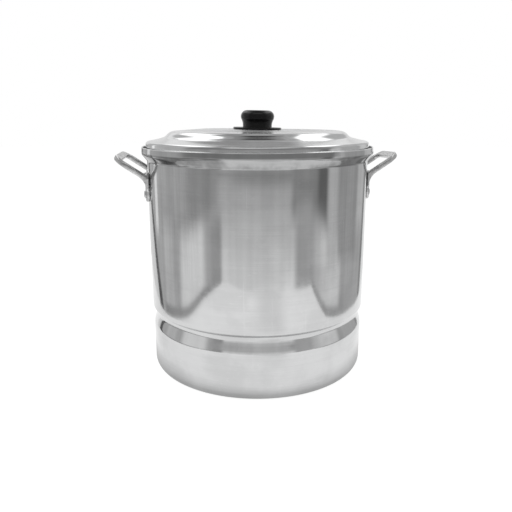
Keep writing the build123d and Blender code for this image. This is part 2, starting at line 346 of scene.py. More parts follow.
# %% Profile of the lid, over the top and back along the underside
crown_turn = degrees(asin((lid_crown_radius - lid_seat_radius) / lid_crown_curve))
foot_turn = lid_step_slope - lid_flange_slope - lid_flange_hollow
down_to_foot, foot_headings = walk(
    (screw_hole, lid_top),
    0,
    [
        (lid_seat_radius - screw_hole, 0),
        (lid_crown_curve, -crown_turn),
        (lid_shoulder, crown_turn - lid_step_slope),
        (lid_step_length, 0),
        (lid_shoulder, foot_turn),
    ],
    arc_step=2.5,
)
flange_angle = radians(lid_flange_slope)
corner_start = radians(lid_flange_slope - lid_flange_hollow)
flange_end = lid_skirt_radius - lid_corner * (1 - sin(corner_start))
flange_chord = (flange_end - down_to_foot[-1, 0]) / cos(flange_angle)
flange_curve = flange_chord / (2 * sin(radians(lid_flange_hollow)))
flange, flange_headings = walk(
    down_to_foot[-1],
    degrees(foot_headings[-1]),
    [
        (flange_curve, 2 * lid_flange_hollow),
        (lid_corner, lid_flange_slope - lid_flange_hollow - 90),
    ],
    arc_step=2.5,
)
skirt_run = flange[-1, 1] - lid_base - lid_edge
skirt, skirt_headings = walk(flange[-1], -90, [(skirt_run, 0)])
lid_outside = np.concatenate([down_to_foot, flange[1:], skirt[1:]])
lid_headings = np.concatenate([foot_headings, flange_headings[1:], skirt_headings[1:]])
lid_inside = other_side(lid_outside, lid_headings, -lid_wall)
lip, _ = walk(
    (lid_skirt_radius, lid_base + lid_edge),
    -90,
    [(lid_edge, -90), (lid_wall - 2 * lid_edge, 0), (lid_edge, -90)],
    arc_step=30.0,
)
lid_profile = np.concatenate([lid_outside[:-1], lip, lid_inside[-2::-1]])
print(f"lid skirt is {skirt_run / MM:.1f} mm high below its round corner")


# %% Slight waves and the lean of the lid's middle
seat_drop = 0.6 * MM
seat_lean = radians(1.1)
lean_bearing = radians(5.7)
pressed_to = 115 * MM
pressed_fade = 50 * MM
crown_grow = 60 * MM
flange_fade = 20 * MM
crown_waves = ((0.08 * MM, 2, 0.6, 0), (0.02 * MM, 5, 2.4, 40), (0.008 * MM, 9, 0.9, -60))


def lid_waves(radius, angle, height):
    """How far the lid's heights leave the true form. The waves grow from the knob's seat to
    the shoulder and fade towards the skirt. The lean lowers a point by the drop and by the
    slope times how far to the right it lies, and its edge is a smooth step."""
    to_right = radius * np.cos(angle + lean_bearing)
    pressed = ramp(pressed_to - radius, pressed_fade)
    pressed = pressed**2 * (3 - 2 * pressed)
    sunk = (seat_drop + tan(seat_lean) * to_right) * pressed
    grow = ramp(radius - lid_seat_radius, crown_grow)
    fade = ramp(lid_skirt_radius - lid_corner - radius, flange_fade)
    return 0, sum_of_waves(crown_waves, angle, radius) * grow * fade - sunk


lid_grid = revolve(lid_profile, 288, lid_waves)
add_piece(
    grid_mesh("spun_lid", lid_grid, wrap_rows=True, wrap_columns=True),
    "lid",
    "lid",
)

# %% [markdown]
# ## The knob and its guard
#
# The knob is black phenolic, pressed hot in a polished mould, so it is glossy and exact:
# a flat top, a big rounded edge and a waist. A thin black plate under it keeps fingers off
# the hot lid. Both are simple turned profiles. The knob's underside keeps the pocket for
# its brass insert, so that the meshes are right inside too. Both follow the lean of the
# lid's middle, which is a turn about the middle of the seat.

# %% Profiles of the knob and the guard
knob_radius = 22.7 * MM
knob_neck = 19.8 * MM
knob_edge = 8.2 * MM
knob_turn = 28.0
knob_shrink = 0.4 * MM
insert_radius = 5.0 * MM
insert_height = 11.0 * MM
fit_gap = 0.15 * MM
guard_radius = 32.8 * MM
guard_edge = 0.9 * MM
guard_foot_radius = 14.0 * MM
guard_sink = 0.6 * MM
knob_low, knob_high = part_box("lid_knob")
guard_low, guard_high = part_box("knob_guard")
knob_base, knob_top = knob_low.z - guard_sink, knob_high.z - guard_sink - knob_shrink
guard_top, guard_foot = guard_high.z - guard_sink, guard_low.z
guard_base = guard_foot + 0.2 * MM


def leaned(grid):
    """Turns points about the middle of the lid's seat, to the right and down, by the lean,
    and lowers them by the seat's drop."""
    ahead = np.array([sin(lean_bearing), cos(lean_bearing), 0])
    right = np.array([cos(lean_bearing), -sin(lean_bearing), 0])
    up = np.array([0, 0, 1.0])
    seat = np.array([0, 0, lid_top])
    along, across, above = (((grid - seat) @ way)[..., None] for way in (ahead, right, up))
    turned_right = across * cos(seat_lean) + above * sin(seat_lean)
    turned_up = above * cos(seat_lean) - across * sin(seat_lean) - seat_drop
    return seat + along * ahead + turned_right * right + turned_up * up


waist = (knob_radius - knob_neck) / (1 - cos(radians(knob_turn))) - knob_edge
knob_side, _ = walk(
    (0, knob_top),
    0,
    [(knob_radius - knob_edge, 0), (knob_edge, -90 - knob_turn), (waist, knob_turn)],
    spacing=1.5 * MM,
    arc_step=4.0,
)
pocket_top = knob_low.z + insert_height + fit_gap
knob_under = [
    (knob_neck, knob_base),
    (insert_radius + fit_gap, knob_base),
    (insert_radius + fit_gap, pocket_top),
    (0, pocket_top),
]
knob_grid = leaned(revolve(np.concatenate([knob_side, knob_under]), 160))
add_piece(
    grid_mesh("moulded_knob", knob_grid, wrap_rows=True),
    "lid",
    "lid_knob",
)

guard_over, _ = walk(
    (screw_hole, guard_top),
    0,
    [
        (guard_radius - guard_edge - screw_hole, 0),
        (guard_edge, -90),
        (guard_top - guard_base - 2 * guard_edge, 0),
        (guard_edge, -90),
        (guard_radius - guard_edge - guard_foot_radius, 0),
    ],
    spacing=3.0 * MM,
    arc_step=15.0,
)
guard_under = [(guard_foot_radius, guard_foot), (screw_hole, guard_foot)]
guard_grid = leaned(revolve(np.concatenate([guard_over, guard_under]), 160))
add_piece(
    grid_mesh("guard_plate", guard_grid, wrap_rows=True, wrap_columns=True),
    "lid",
    "knob_guard",
)

# %% [markdown]
# ## The cast handles
#
# Each handle is one sand casting: a flat bar bent to a loop, which slopes up and out from
# two feet that hug the wall. A casting has no sharp corners. Where the arms meet the feet
# the metal runs together in soft fillets, and its skin is grainy.
#
# The bar is a rectangle with round corners, carried between the loop's inner and outer
# outlines. Each foot is a thin plate with round edges, wrapped on the wall. The three
# shapes overlap, a voxel remesh fuses them, a little smoothing makes the fillets, and each
# point then moves along its normal by a few hundredths of a millimetre of sand grain.

# %% Sizes of a handle
handle_slope = radians(33.6)
handle_twist = radians(2.2)
strap_axis = np.array([body_radius, 0, 34.3 * MM])
strap_half = 3.5 * MM
strap_round = 2.4 * MM
strap_run = 39.3 * MM / cos(handle_slope)
grip_half = 42.8 * MM
grip_width = 10.0 * MM
grip_corner = 20.0 * MM
arm_spread = 2.8 * MM
arm_width = 8.5 * MM
arm_bend = 22.0 * MM
window_corner = 6.0 * MM
foot_width = 22.0 * MM
foot_height = 38.6 * MM
foot_thickness = 3.7 * MM
foot_corner = 4.0 * MM
foot_edge = 1.4 * MM
foot_back = body_radius + 0.3 * MM
foot_front = foot_back + foot_thickness
arm_root_half = grip_half - arm_spread
foot_angle = asin((arm_root_half - foot_width / 2) / foot_front)
handle_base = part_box("handle_right")[0].z


# %% The loop's outlines, in the plane of its slope
arm_steps, bend_steps, grip_steps = 45, 25, 20


def loop_outline(half_width, reach, corner, root):
    """Half a loop, from the root of one arm to the middle of the grip, as distances along
    the slope and across it: a straight arm that spreads a little, a round corner and half
    the grip. Each stretch has the same share of points in the inner and outer outline."""
    lean = np.arctan2(arm_spread, 2 * strap_run)
    turn = pi / 2 + lean
    tangent = corner * tan(turn / 2)
    tip = np.array([reach, -half_width])
    arm_end = tip - tangent * np.array([cos(lean), -sin(lean)])
    root_point = np.array([root, -half_width + (reach - root) * tan(lean)])
    arm = root_point + np.linspace(0, 1, arm_steps)[:, None] * (arm_end - root_point)
    centre = arm_end + corner * np.array([sin(lean), cos(lean)])
    swing = -pi / 2 - lean + turn * np.linspace(0, 1, bend_steps)[1:]
    bend = centre + corner * np.stack([np.cos(swing), np.sin(swing)], axis=1)
    grip_way = np.array([reach, 0]) - bend[-1]
    grip = bend[-1] + np.linspace(0, 1, grip_steps)[1:, None] * grip_way
    return np.concatenate([arm, bend, grip])


def both_halves(half):
    """The half outline, and its mirror image on the other side."""
    return np.concatenate([half, half[-2::-1] * np.array([1, -1])])


root = -6.0 * MM
outer = both_halves(loop_outline(grip_half, strap_run, grip_corner, root))
inner = both_halves(
    loop_outline(grip_half - arm_width, strap_run - grip_width, window_corner, root)
)


# %% Carry the bar's section round the loop
def bar_section(half_width, corner_steps=6):
    """A rectangle with round corners, as distances across and up. Its corners keep their
    radius where the bar is wider."""
    turn = np.radians(np.linspace(0, 90, corner_steps))
    angles = np.concatenate([turn + quarter * pi / 2 for quarter in range(4)])
    sides = np.repeat(np.array([[1, 1], [-1, 1], [-1, -1], [1, -1]]), corner_steps, axis=0)
    across = sides[:, 0] * (half_width - strap_round) + strap_round * np.cos(angles)
    up = sides[:, 1] * (strap_half - strap_round) + strap_round * np.sin(angles)
    return across, up, sides[:, 1] < 0


def gusset_drop(x):
    """How far the arm's lower side hangs below its straight edge beside the foot: it
    follows an arc that meets both the sloping edge and the foot's upright face."""
    edge_x = sqrt(foot_front**2 - arm_root_half**2)
    tangent = arm_bend * tan((pi / 2 - handle_slope) / 2)
    beside = np.clip(x - edge_x, 0, tangent * cos(handle_slope))
    arc = -tangent + np.sqrt(arm_bend**2 - (arm_bend - beside) ** 2)
    return beside * tan(handle_slope) - arc


def bar_grid():
    """The bar's surface as rows of sections. Its ends run into the feet and stop short of
    the wall, because no point may come nearer to the pot's axis than the foot's back."""
    middle = (outer + inner) / 2
    half = (outer - inner) / 2
    half_width = np.linalg.norm(half, axis=1)[:, None]
    across, up, below = bar_section(half_width)
    flat = middle[:, None] + across[:, :, None] * (half / half_width)[:, None]
    x = strap_axis[0] + flat[:, :, 0] * cos(handle_slope) - up * sin(handle_slope)
    z = strap_axis[2] + flat[:, :, 0] * sin(handle_slope) + up * cos(handle_slope)
    z = z - gusset_drop(x) * below
    grid = np.stack([x, flat[:, :, 1], z], axis=-1)
    twist_axis = np.array([cos(handle_slope), 0, sin(handle_slope)])
    grid = strap_axis + turned(grid - strap_axis, twist_axis, -handle_twist)
    radius = np.hypot(grid[:, :, 0], grid[:, :, 1])
    grid[:, :, :2] *= (np.maximum(radius, foot_back + 1.2 * MM) / radius)[:, :, None]
    ends = grid[[0, -1]].mean(axis=1)[:, None] + np.zeros((2, grid.shape[1], 3))
    return np.concatenate([ends[:1], grid, ends[1:]])


def turned(points, axis, angle):
    """Turns points about an axis through the origin: what lies along the axis stays, and
    what lies across it is turned by the angle."""
    along = (points @ axis)[..., None] * axis
    return along + cos(angle) * (points - along) + sin(angle) * np.cross(axis, points)


# %% Wrap a foot on the wall
def foot_grid(azimuth):
    """A plate with a round lower end. Its rows go from the middle of the back, out to the
    edge, round it and in to the middle of the front. The plate is wrapped on the wall: its
    width becomes an arc and its thickness a radius."""
    outline, headings = walk(
        (0, foot_height),
        0,
        [
            (foot_width / 2 - foot_corner, 0),
            (foot_corner, -90),
            (foot_height - foot_corner - foot_width / 2, 0),
            (foot_width / 2, -180),
            (foot_height - foot_corner - foot_width / 2, 0),
            (foot_corner, -90),
            (foot_width / 2 - foot_corner, 0),
        ],
        spacing=1.5 * MM,
        arc_step=10.0,
    )
    centre = np.array([0, foot_height / 2])
    inwards = np.stack([np.sin(headings), -np.cos(headings)], axis=1)
    rows, depths = [], []
    for share in (0.0, 0.35, 0.7, 1.0):
        rows.append(centre + share * (outline - centre))
        depths.append(0.0)
    for turn in np.radians(np.linspace(0, 90, 7)):
        rows.append(outline + foot_edge * (1 - cos(turn)) * inwards)
        depths.append(foot_thickness - foot_edge * (1 - sin(turn)))
    for share in (0.7, 0.35, 0.0):
        rows.append(centre + share * (outline + foot_edge * inwards - centre))
        depths.append(foot_thickness)
    flat = np.stack(rows)
    radius = foot_back + np.array(depths)[:, None]
    angle = azimuth + flat[:, :, 0] / foot_front
    return np.stack([radius * np.cos(angle), radius * np.sin(angle), flat[:, :, 1]], axis=-1)


# %% Fuse the bar and the feet, and give them a cast skin
voxel = 0.55 * MM
fillet_passes = 6
grain_height = 0.035 * MM


def fused(meshes, name):
    """Joins closed meshes into one skin with a voxel remesh, then smooths it, which turns
    the inner corners into fillets."""
    form = link_object(name, joined(meshes, name))
    remesh = form.modifiers.new("fuse", "REMESH")
    remesh.mode = "VOXEL"
    remesh.voxel_size = voxel
    smooth = form.modifiers.new("fillet", "SMOOTH")
    smooth.factor = 0.5
    smooth.iterations = fillet_passes
    view = bpy.context.evaluated_depsgraph_get()
    result = bpy.data.meshes.new_from_object(form.evaluated_get(view))
    result.name = name
    bpy.data.objects.remove(form)
    return result


def sand_grain(points, seed):
    """Height of the cast skin at each point: a sum of sines whose directions and phases
    are drawn once, fine enough to look like sand and coarse enough for the mesh."""
    draw = np.random.default_rng(seed)
    directions = draw.normal(size=(60, 3))
    directions /= np.linalg.norm(directions, axis=1)[:, None]
    lengths = draw.uniform(2.2, 9.0, 60) * MM
    phases = draw.uniform(0, 2 * pi, 60)
    waves = np.sin(points @ (2 * pi * directions / lengths[:, None]).T + phases)
    return waves.sum(axis=1) / sqrt(60)


def read_points(mesh, field="co"):
    """Every vertex's place, or its normal, as rows of three numbers."""
    values = np.empty(3 * len(mesh.vertices), np.float32)
    source = mesh.vertices if field == "co" else mesh.vertex_normals
    source.foreach_get("co" if field == "co" else "vector", values)
    return values.reshape(-1, 3).astype(float)


cast_form = fused(
    [
        grid_mesh("bar", bar_grid(), wrap_columns=True),
        grid_mesh("foot_a", foot_grid(-foot_angle), wrap_columns=True),
        grid_mesh("foot_b", foot_grid(foot_angle), wrap_columns=True),
    ],
    "cast_form",
)
form_points = read_points(cast_form)
form_normals = read_points(cast_form, "normal")

for side, turn, seed in (("right", 0.0, 4), ("left", pi, 9)):
    grain = grain_height * sand_grain(form_points, seed)[:, None] * form_normals
    placed = turned(form_points + grain, np.array([0.0, 0.0, 1.0]), turn)
    placed[:, 2] += handle_base
    casting = cast_form.copy()
    casting.name = f"cast_handle_{side}"
    casting.vertices.foreach_set("co", placed.astype(np.float32).ravel())
    casting.update()
    add_piece(casting, "pot", f"handle_{side}", crease=180.0)

# %% [markdown]
# ## The rivets
#
# Two solid aluminium rivets hold each foot. Their domed heads sit outside, and the tails
# were hammered flat inside the pot. A rivet is a small turned shape too, spun about its
# own axis, which points out along a radius of the pot.

# %% Shape and places of the rivets
rivet_radius = 2.5 * MM
rivet_low = 9.4 * MM
rivet_spacing = 23.7 * MM
rivet_head_radius = 5.2 * MM
rivet_head_height = 2.2 * MM
rivet_head_edge = 0.6 * MM
rivet_tail_radius = 4.5 * MM
rivet_tail_height = 1.4 * MM
rivet_tail_shares = ((1.0, 0.0), (1.0, 0.5), (0.9, 0.85), (0.7, 1.0), (0.0, 1.0))
rivet_spread = arm_root_half - arm_width - 1.8 * MM - rivet_head_radius
rivet_angle = asin(rivet_spread / foot_front)
tail_seat = sqrt((body_radius - body_wall) ** 2 - rivet_tail_radius**2) - fit_gap - foot_front


def rivet_profile():
    """Radius and height of a rivet from the top of its dome to the end of its tail. The
    dome is an ellipse's quarter, so it meets its short straight edge without a corner."""
    turn = np.radians(np.linspace(90, 0, 12))
    dome_height = rivet_head_edge + (rivet_head_height - rivet_head_edge) * np.sin(turn)
    dome = np.stack([rivet_head_radius * np.cos(turn), dome_height], axis=1)
    shank = [(rivet_head_radius, fit_gap), (rivet_radius, fit_gap), (rivet_radius, tail_seat)]
    tail = [
        (out * rivet_tail_radius, tail_seat - down * rivet_tail_height)
        for out, down in rivet_tail_shares
    ]
    return np.concatenate([dome, shank, tail])


def rivet_pair(azimuth):
    """Two rivets on one foot: each turned shape is laid along the radius at its height."""
    turned_shape = revolve(rivet_profile(), 40)
    out = np.array([cos(azimuth), sin(azimuth), 0])
    around = np.array([-sin(azimuth), cos(azimuth), 0])
    frame_rows = np.array([around, [0, 0, 1], out])
    pair = []
    for height in (rivet_low, rivet_low + rivet_spacing):
        centre = foot_front * out + np.array([0, 0, handle_base + height])
        pair.append(turned_shape @ frame_rows + centre)
    return pair


for side, turn in (("right", 0.0), ("left", pi)):
    for foot in ("front", "rear"):
        towards = -1 if foot == "front" else 1
        azimuth = turn + towards * rivet_angle * (1 if side == "right" else -1)
        rivets = [grid_mesh("rivet", grid, wrap_rows=True) for grid in rivet_pair(azimuth)]
        pair_mesh = joined(rivets, f"rivets_{side}_{foot}")
        add_piece(pair_mesh, "pot", f"handle_{side}_{foot}_rivets")

# %% [markdown]
# ## Tools for finishes
#
# The finishes share a few effects: the fine rings that a lathe leaves, clouding from
# washing and handling, hairline scratches and the skin of a sand casting. Each is a node
# group with named inputs, built once here and placed in every material that needs it.
# An image could hold them, but nodes stay sharp at any distance and keep their real size.
#
# A long formula is hard to read as a list of Math nodes. So each node's output is held in
# a small class, which turns every +, -, * and / into a Math node, and the formulas below
# read like those for plain numbers.


# %% Write node trees as formulas
class Wire:
    """A node's output. Arithmetic with it adds Math nodes to its tree."""

    def __init__(self, socket):
        self.socket, self.tree = socket, socket.id_data

    def math(self, operation, *others):
        """One step of arithmetic, which starts from this output."""
        inputs = dict(enumerate((self, *others)))
        return Wire(add_node(self.tree, "ShaderNodeMath", inputs, operation=operation).outputs[0])

    def __add__(self, other):
        return self.math("ADD", other)

    def __sub__(self, other):
        return self.math("SUBTRACT", other)

    def __rsub__(self, other):
        return self.math("MULTIPLY_ADD", -1.0, other)

    def __mul__(self, other):
        return self.math("MULTIPLY", other)

    def __truediv__(self, other):
        return self.math("DIVIDE", other)

    def __abs__(self):
        return self.math("ABSOLUTE")

    def remap(self, low, high, to_low=0.0, to_high=1.0):
        """Carries the value from one range to another along a smooth step."""
        inputs = dict(enumerate((self, low, high, to_low, to_high)))
        node = add_node(self.tree, "ShaderNodeMapRange", inputs, interpolation_type="SMOOTHSTEP")
        return Wire(node.outputs["Result"])


def feed(node, inputs):
    """Sets a node's inputs, by name or number, or links them where a wire is given."""
    for key, value in inputs.items():
        if isinstance(value, Wire):
            value.tree.links.new(value.socket, node.inputs[key])
        else:
            node.inputs[key].default_value = value
    return node


def add_node(tree, kind, inputs, **settings):
    """Adds a node, sets its properties and feeds its inputs."""
    node = tree.nodes.new(kind)
    for key, value in settings.items():
        setattr(node, key, value)
    return feed(node, inputs)


def wires(node):
    """A node's outputs, by name."""
    return {socket.name: Wire(socket) for socket in node.outputs}


# %% Noise, places and distances
def noise(place, scale, detail=3.0, roughness=0.5):
    """Noise between 0 and 1 at a place."""
    inputs = {"Vector": place, "Scale": scale, "Detail": detail, "Roughness": roughness}
    return Wire(add_node(place.tree, "ShaderNodeTexNoise", inputs).outputs["Fac"])


def object_place(tree):
    """The place of each point on the pot, and its three parts."""
    place = wires(tree.nodes.new("ShaderNodeTexCoord"))["Object"]
    return place, wires(add_node(tree, "ShaderNodeSeparateXYZ", {0: place})).values()


def join_parts(*parts):
    """A place made of two or three parts."""
    node = add_node(parts[0].tree, "ShaderNodeCombineXYZ", dict(enumerate(parts)))
    return Wire(node.outputs[0])


def stretched(place, scale, tilt=(0.0, 0.0, 0.0)):
    """A place turned by a tilt and scaled along its three directions."""
    inputs = {"Vector": place, "Rotation": tilt, "Scale": scale}
    return Wire(add_node(place.tree, "ShaderNodeMapping", inputs).outputs[0])


def from_axis(x, y):
    """Distance from an axis: the root of x times x plus y times y."""
    return (x * x + y * y).math("SQRT")


# %% Make node groups and place them
def start_group(name, inputs, outputs):
    """A new node group with number inputs, given as name and first value, and outputs.
    Returns it with its inputs as wires and the node that takes its results."""
    group = bpy.data.node_groups.new(name, "ShaderNodeTree")
    for label, value in inputs.items():
        socket = group.interface.new_socket(label, in_out="INPUT", socket_type="NodeSocketFloat")
        socket.default_value = value
    for label in outputs:
        group.interface.new_socket(label, in_out="OUTPUT", socket_type="NodeSocketFloat")
    return group, wires(group.nodes.new("NodeGroupInput")), group.nodes.new("NodeGroupOutput")


def place_group(tree, group, inputs=None):
    """Places a node group in a material, with its own values."""
    node = tree.nodes.new("ShaderNodeGroup")
    node.node_tree = group
    return wires(feed(node, inputs or {}))


# %% [markdown]
# ### Lathe rings
#
# A spinning lathe drags its marks round the pot, so they hardly change along a circle and
# change quickly across it. The noise is read at a place made of the direction from the
# axis, which changes slowly, and of radius and height together, which change quickly.

# %% Node group: lathe rings
lathe_rings, given, result = start_group(
    "lathe_rings", {"Rings per metre": 900.0, "Height share": 1.0}, ["Fine", "Broad"]
)
_, (x, y, z) = object_place(lathe_rings)
radius = from_axis(x, y)
safe_radius = radius.math("MAXIMUM", 1 * MM)
across = z * given["Height share"] + radius
for label, rings_per_metre, scale, detail, roughness in (
    ("Fine", given["Rings per metre"], 1.6, 4.0, 0.65),
    ("Broad", 70.0, 1.3, 2.0, 0.5),
):
    ring_place = join_parts(x / safe_radius, y / safe_radius, across * rings_per_metre)
    feed(result, {label: noise(ring_place, scale, detail, roughness)})

# %% [markdown]
# ### Clouds and scratches
#
# Washing leaves aluminium faintly cloudy, in patches of some centimetres. Hairline
# scratches run in a few directions: each is noise stretched very long one way, of which
# only the narrow peaks are kept, and broken up by a second, coarser noise. The reflection
# streaks are noise stretched 25 times upwards, which paint a streaky reflection on the
# body's sides.

# %% Node group: clouds and scratches
clouds_and_scratches, given, result = start_group(
    "clouds_and_scratches", {"Cloud scale": 14.0}, ["Clouds", "Scratches", "Streaks"]
)
place, _ = object_place(clouds_and_scratches)
lines = []
for tilt, stretch in (
    ((0.3, 0.2, 0.4), (500, 500, 9)),
    ((1.2, 0.5, 2.0), (420, 10, 420)),
    ((0.7, 1.9, 0.9), (8, 460, 460)),
):
    lines.append(noise(stretched(place, stretch, tilt), 1.0, 0.0).remap(0.72, 0.80))
any_line = lines[0].math("MAXIMUM", lines[1]).math("MAXIMUM", lines[2])
# Upright streaks, which paint a streaky reflection on the body's sides.
reflection_streaks = noise(stretched(place, (1.0, 1.0, 0.04)), 110.0, 3.0, 0.7)
feed(
    result,
    {
        "Clouds": noise(place, given["Cloud scale"], 4.0, 0.55).remap(0.32, 0.68),
        "Scratches": any_line * noise(place, 45.0, 2.0).remap(0.45, 0.6),
        "Streaks": reflection_streaks.remap(0.3, 0.7),
    },
)

# %% [markdown]
# ### Cast skin
#
# Sand leaves a casting grainy, with darker pits. Two noises of different grain make the
# height, and the deepest of the coarse one are the pits.

# %% Node group: cast skin
cast_skin, given, result = start_group(
    "cast_skin", {"Grains per metre": 900.0}, ["Height", "Pits"]
)
place, _ = object_place(cast_skin)
grain = noise(place, given["Grains per metre"], 3.0, 0.6)
coarse = noise(place, 320.0, 3.0, 0.6)
feed(result, {"Height": coarse * 0.8 + grain, "Pits": coarse.remap(0.47, 0.36)})
print("effects for the finishes:", ", ".join(group.name for group in bpy.data.node_groups))

# %% [markdown]
# ## The finishes
#
# Bare aluminium is a metal shader whose colour is its reflectance. Spun sheet also needs
# anisotropy: its fine rings run round the pot, and so they smear each reflection up and
# down the wall. On a turned form about the Z axis the shader's own tangent already runs
# round, so a plain number is enough. The lathe and cloud effects vary the reflectance and
# the roughness by a few percent, and a very low bump shows single rings.
#
# The body has three marks of its own in its reflectance. A bright band round its lip is
# a painted highlight on the rolled bead. The flare below it is a darker belt of lower
# reflectance, mottled by the clouds. High on the wall's left and right sides, upright
# streaks paint a streaky reflection.


# %% Aluminium in its several finishes
def start_material(name, **fixed):
    """A material with its Principled shader, whose sockets hold the given plain numbers."""
    material = bpy.data.materials.new(name)
    material.use_nodes = True
    tree = material.node_tree
    numbers = {label.replace("_", " "): value for label, value in fixed.items()}
    return material, tree, feed(tree.nodes["Principled BSDF"], numbers)


def grey_colour(value, tint=(1.0, 1.0, 1.0)):
    """A grey of the given value, with a slight tint."""
    parts = {n: value * share for n, share in enumerate(tint)}
    return Wire(add_node(value.tree, "ShaderNodeCombineColor", parts).outputs[0])


def bumped(height, distance):
    """The surface's direction, as if the height stood out by up to the distance."""
    inputs = {"Height": height, "Strength": 1.0, "Distance": distance}
    return Wire(add_node(height.tree, "ShaderNodeBump", inputs).outputs[0])


scratch_gain = 0.03
# Painted highlight on the lip's rolled bead: how much its reflectance is raised.
lip_highlight_gain = 0.28
# How much the flare's belt lowers the reflectance, and how soft its edge is.
belt_darkening = (-0.34, -0.18)
belt_edge = 2 * MM
# Painted streaky reflection: how far from the middle, and how high, the streaks show.
reflection_beside = (0.06, 0.10)
reflection_above = (0.12, 0.18)


def turned_aluminium(
    name,
    reflectance,
    rough,
    anisotropy,
    rings,
    height_share,
    ring_bump,
    cloud_share,
    middle=None,
    lip_highlight=None,
    darker_belt=None,
    side_reflection_streaks=0.0,
):
    """Spun or turned aluminium. reflectance and rough are (lowest, highest). middle is
    (inner radius, outer radius, extra roughness inside them), where a lathe turned slowly
    past its tool and cut coarser marks. lip_highlight is the (lowest, highest) height of a
    painted highlight, a band of brighter reflectance. darker_belt is the (lowest, highest)
    height of a belt of lower reflectance. side_reflection_streaks is how much upright
    streaks vary the reflectance high on the sides, a painted streaky reflection."""
    material, tree, shader = start_material(
        name, Metallic=1.0, Anisotropic=anisotropy, Anisotropic_Rotation=0.25
    )
    _, (x, y, z) = object_place(tree)
    marks = place_group(tree, clouds_and_scratches)
    lathe = place_group(
        tree, lathe_rings, {"Rings per metre": rings, "Height share": height_share}
    )
    tone = marks["Clouds"] * cloud_share + lathe["Broad"] * (1 - cloud_share)
    tone = tone + (lathe["Fine"] - 0.5) * 0.5
    value = tone.remap(0.2, 0.8, *reflectance) + marks["Scratches"] * scratch_gain
    # A painted streaky reflection, high up on the wall's left and right sides.
    if side_reflection_streaks:
        amount = abs(x).remap(*reflection_beside, 0.0, side_reflection_streaks) * z.remap(*reflection_above)
        value = value + (marks["Streaks"] - 0.5) * amount
    # Painted highlight: a band of brighter reflectance on the lip's rolled bead.
    if lip_highlight:
        value = value + z.remap(*lip_highlight, 0.0, lip_highlight_gain)
    # A belt of lower reflectance on the flare, mottled by the clouds.
    if darker_belt:
        half = (darker_belt[1] - darker_belt[0]) / 2
        belt = abs(z - sum(darker_belt) / 2).remap(half, half - belt_edge)
        value = value + belt * marks["Clouds"].remap(0.2, 0.8, *belt_darkening)
    matt = (lathe["Fine"] * 0.5 + marks["Clouds"] * 0.5).remap(0.25, 0.75, *rough)
    if middle:
        matt = matt + from_axis(x, y).remap(*middle, 0.0)
    feed(
        shader,
        {
            "Base Color": grey_colour(value, (0.995, 1.0, 1.005)),
            "Roughness": matt,
            "Normal": bumped(lathe["Fine"], ring_bump),
        },
    )
    return material


satin_aluminium = turned_aluminium(
    "satin_aluminium",
    reflectance=(0.56, 0.64),
    rough=(0.07, 0.11),
    anisotropy=0.3,
    rings=900.0,
    height_share=1.0,
    ring_bump=0.004 * MM,
    cloud_share=0.5,
    # Heights of the lip's painted highlight and of the flare's darker belt, and the strength of
    # the painted side streaks.
    lip_highlight=(0.3066, 0.3076),
    darker_belt=(0.2885, 0.302),
    side_reflection_streaks=0.08,
)
polished_aluminium = turned_aluminium(
    "polished_aluminium",
    reflectance=(0.74, 0.84),
    rough=(0.10, 0.15),
    anisotropy=0.5,
    rings=1100.0,
    height_share=-1.0,
    ring_bump=0.001 * MM,
    cloud_share=0.6,
    middle=(0.085, 0.108, 0.22),
)
mill_aluminium = turned_aluminium(
    "mill_aluminium",
    reflectance=(0.6, 0.72),
    rough=(0.3, 0.42),
    anisotropy=0.3,
    rings=800.0,
    height_share=-1.0,
    ring_bump=0.005 * MM,
    cloud_share=0.7,
)
rivet_aluminium = turned_aluminium(
    "rivet_aluminium",
    reflectance=(0.55, 0.72),
    rough=(0.28, 0.4),
    anisotropy=0.0,
    rings=1500.0,
    height_share=0.5,
    ring_bump=0.004 * MM,
    cloud_share=0.7,
)

# %% Cast aluminium
cast_aluminium, tree, shader = start_material("cast_aluminium", Metallic=1.0)
skin = place_group(tree, cast_skin)
marks = place_group(tree, clouds_and_scratches, {"Cloud scale": 60.0})
value = marks["Clouds"].remap(0.0, 1.0, 0.60, 0.77) + skin["Pits"] * -0.12
feed(
    shader,
    {
        "Base Color": grey_colour(value),
        "Roughness": skin["Height"].remap(0.5, 1.2, 0.26, 0.40),
        "Normal": bumped(skin["Height"], 0.045 * MM),
    },
)

# %% [markdown]
# ### Black phenolic, brass and plated steel
#
# The knob is not metal: it has a black body under a clear gloss, so it gets a dark colour,
# a low roughness and a thin coat. Faint dust and rubbing vary the gloss. The insert, the
# screw, its washer and the rack are hidden by the lid, and keep their CAD meshes.

# %% Knob and fastenings
black_phenolic, tree, shader = start_material(
    "black_phenolic",
    Metallic=0.0,
    Specular_IOR_Level=0.28,
    Coat_Weight=0.15,
    Coat_Roughness=0.06,
)
marks = place_group(tree, clouds_and_scratches, {"Cloud scale": 90.0})
place, _ = object_place(tree)
dust = noise(place, 1800.0, 2.0).remap(0.68, 0.78)
gloss = marks["Clouds"].remap(0.0, 1.0, 0.16, 0.26)
feed(
    shader,
    {
        "Base Color": grey_colour(dust * 0.03 + (marks["Clouds"] * 0.002 + 0.004)),
        "Roughness": marks["Scratches"] * 0.15 + gloss,
        "Normal": bumped(noise(place, 500.0, 2.0), 0.01 * MM),
    },
)


def fastening_metal(name, colour, rough):
    """Brass or plated steel: a tinted metal, clouded by age."""
    material, tree, shader = start_material(name, Metallic=1.0)
    clouds = place_group(tree, clouds_and_scratches, {"Cloud scale": 200.0})["Clouds"]
    value = clouds.remap(0.0, 1.0, 0.8, 1.0)
    matt = clouds.remap(0.0, 1.0, rough, rough + 0.12)
    feed(shader, {"Base Color": grey_colour(value, colour), "Roughness": matt})
    return material


insert_brass = fastening_metal("insert_brass", (0.75, 0.58, 0.28), 0.28)
plated_steel = fastening_metal("plated_steel", (0.66, 0.66, 0.64), 0.22)

